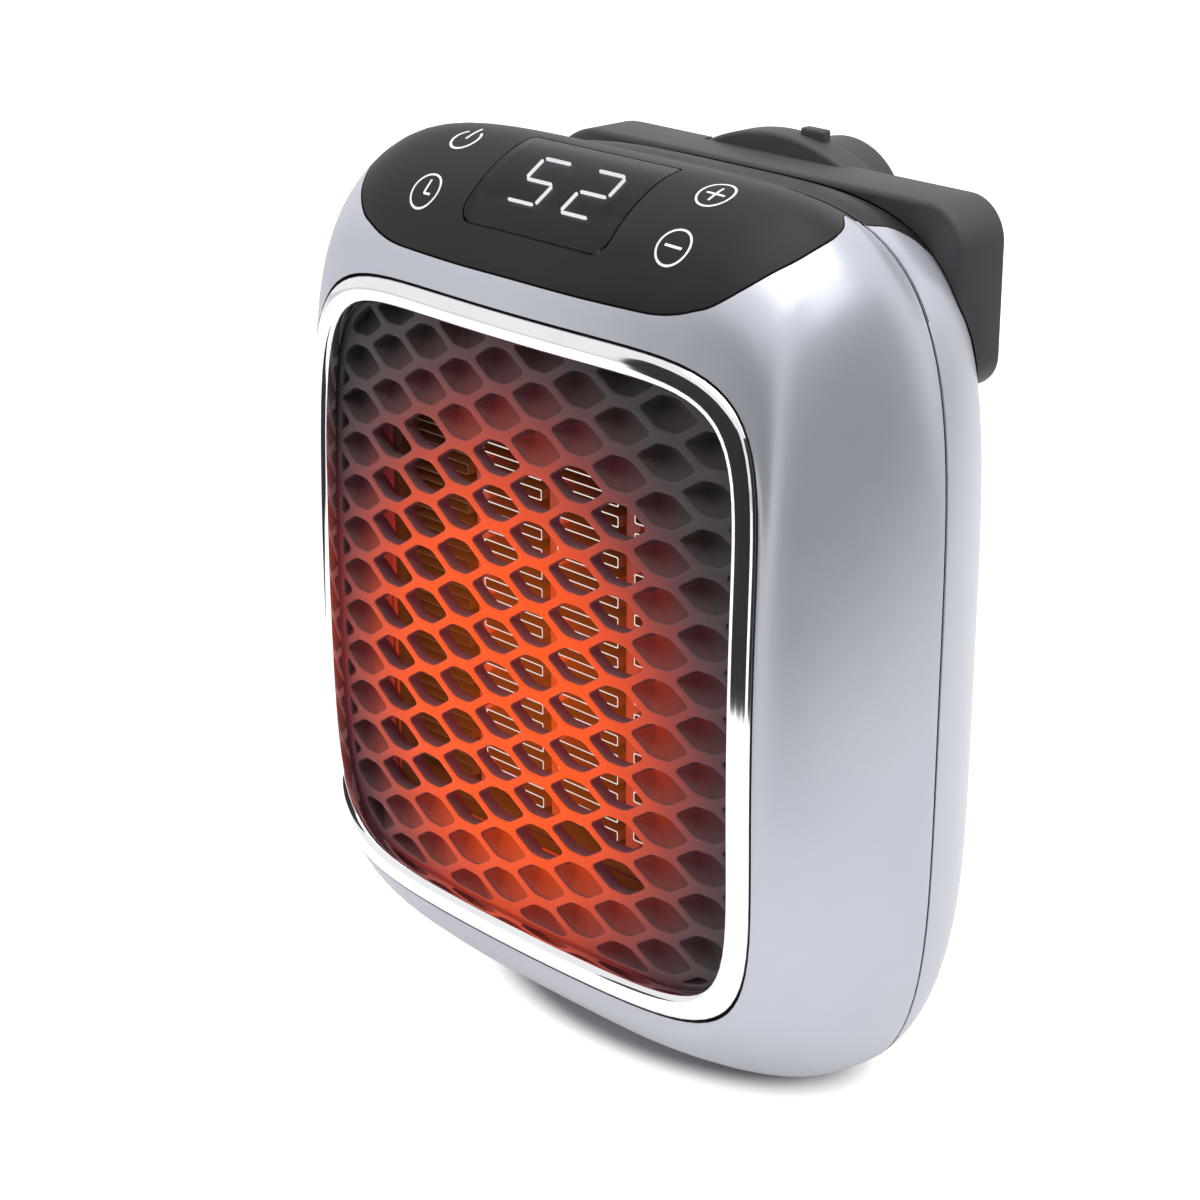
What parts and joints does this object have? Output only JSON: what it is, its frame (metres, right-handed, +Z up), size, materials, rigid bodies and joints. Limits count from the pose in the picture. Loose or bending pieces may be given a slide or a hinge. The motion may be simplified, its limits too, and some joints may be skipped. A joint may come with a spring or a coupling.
{
  "type": "plug-in fan heater",
  "caption": "Compact plug-in fan heater: rounded upright housing, honeycomb outlet in a bright ring, sloping black touch panel with display, swivelling two-blade plug at the back.",
  "frame": {"origin": "centre of the underside of the bounding box, on the floor plane", "axes": "+Z up, -Y the way the warm air leaves, +Y towards the wall outlet, +X to the right seen from the front"},
  "size_m": [0.1152, 0.0962, 0.153],
  "materials": {
    "silver_plastic": "silver paint under a clear coat",
    "bright_plating": "bright plating on a plastic ring",
    "grille_plastic": "dark heat-proof moulding",
    "black_panel": "satin black overlay",
    "smoked_window": "smoked window, polished",
    "black_moulding": "fine moulded texture",
    "white_film": "light diffusing film",
    "green_laminate": "green circuit board",
    "heat_proof_plastic": "dull heat-proof moulding",
    "bare_steel": "bare or plated steel",
    "bare_aluminium": "rolled sheet",
    "white_ceramic": "fired ceramic",
    "blue_case": "moulded case",
    "yellow_case": "dipped case",
    "copper_winding": "enamelled wire",
    "brass_blade": "nickel tinted brass",
    "red_sleeve": "insulated lead",
    "black_sleeve": "insulated lead",
    "grey_sleeve": "insulated lead"
  },
  "bodies": {
    "housing": {"front_shell": "silver_plastic", "rear_shell": "silver_plastic", "bezel_ring": "bright_plating", "outlet_grille": "grille_plastic", "top_panel": "black_panel", "display_window": "smoked_window", "display_block": "black_moulding", "display_digits": "white_film", "touch_board": "green_laminate", "element_frame": "heat_proof_plastic", "thermal_cutout": "bare_steel", "thermal_fuse": "white_ceramic", "air_duct": "black_moulding", "fan_motor": "bare_steel", "motor_bracket": "black_moulding", "control_board": "green_laminate", "relay": "blue_case", "film_capacitor": "yellow_case", "filter_coil": "copper_winding", "smoothing_capacitor": "blue_case", "rear_top_strip": "black_panel", "rear_saddle": "black_moulding", "supply_lead_left": "black_sleeve", "supply_lead_right": "grey_sleeve", "element_lead_left": "red_sleeve", "element_lead_right": "red_sleeve", "motor_lead_left": "red_sleeve", "motor_lead_right": "black_sleeve", "fin_pack_1": "bare_aluminium", "touch_spring_1": "bare_steel", "duct_screw_1": "bare_steel", "case_screw_1": "bare_steel", "fin_pack_2": "bare_aluminium", "touch_spring_2": "bare_steel", "duct_screw_2": "bare_steel", "case_screw_2": "bare_steel", "fin_pack_3": "bare_aluminium", "touch_spring_3": "bare_steel", "duct_screw_3": "bare_steel", "case_screw_3": "bare_steel", "fin_pack_4": "bare_aluminium", "touch_spring_4": "bare_steel", "duct_screw_4": "bare_steel", "case_screw_4": "bare_steel", "ceramic_bar_1": "white_ceramic", "ceramic_bar_2": "white_ceramic", "ceramic_bar_3": "white_ceramic"},
    "fan": {"fan_impeller": "black_moulding", "fan_shaft": "bare_steel"},
    "plug": {"swivel_disc": "black_moulding", "plug_body": "black_moulding", "plug_blade_left": "brass_blade", "plug_blade_right": "brass_blade", "swivel_retainer": "bare_steel"}
  },
  "joints": [
    {"name": "fan_spin", "type": "hinge", "parent": "housing", "child": "fan", "pos_m": [0, -0.0069, 0.0768], "axis": [0, 1, 0], "continuous": true},
    {"name": "plug_swivel", "type": "hinge", "parent": "housing", "child": "plug", "pos_m": [0, 0.0141, 0.1148], "axis": [0, 1, 0], "range_deg": [-90, 90]}
  ]
}
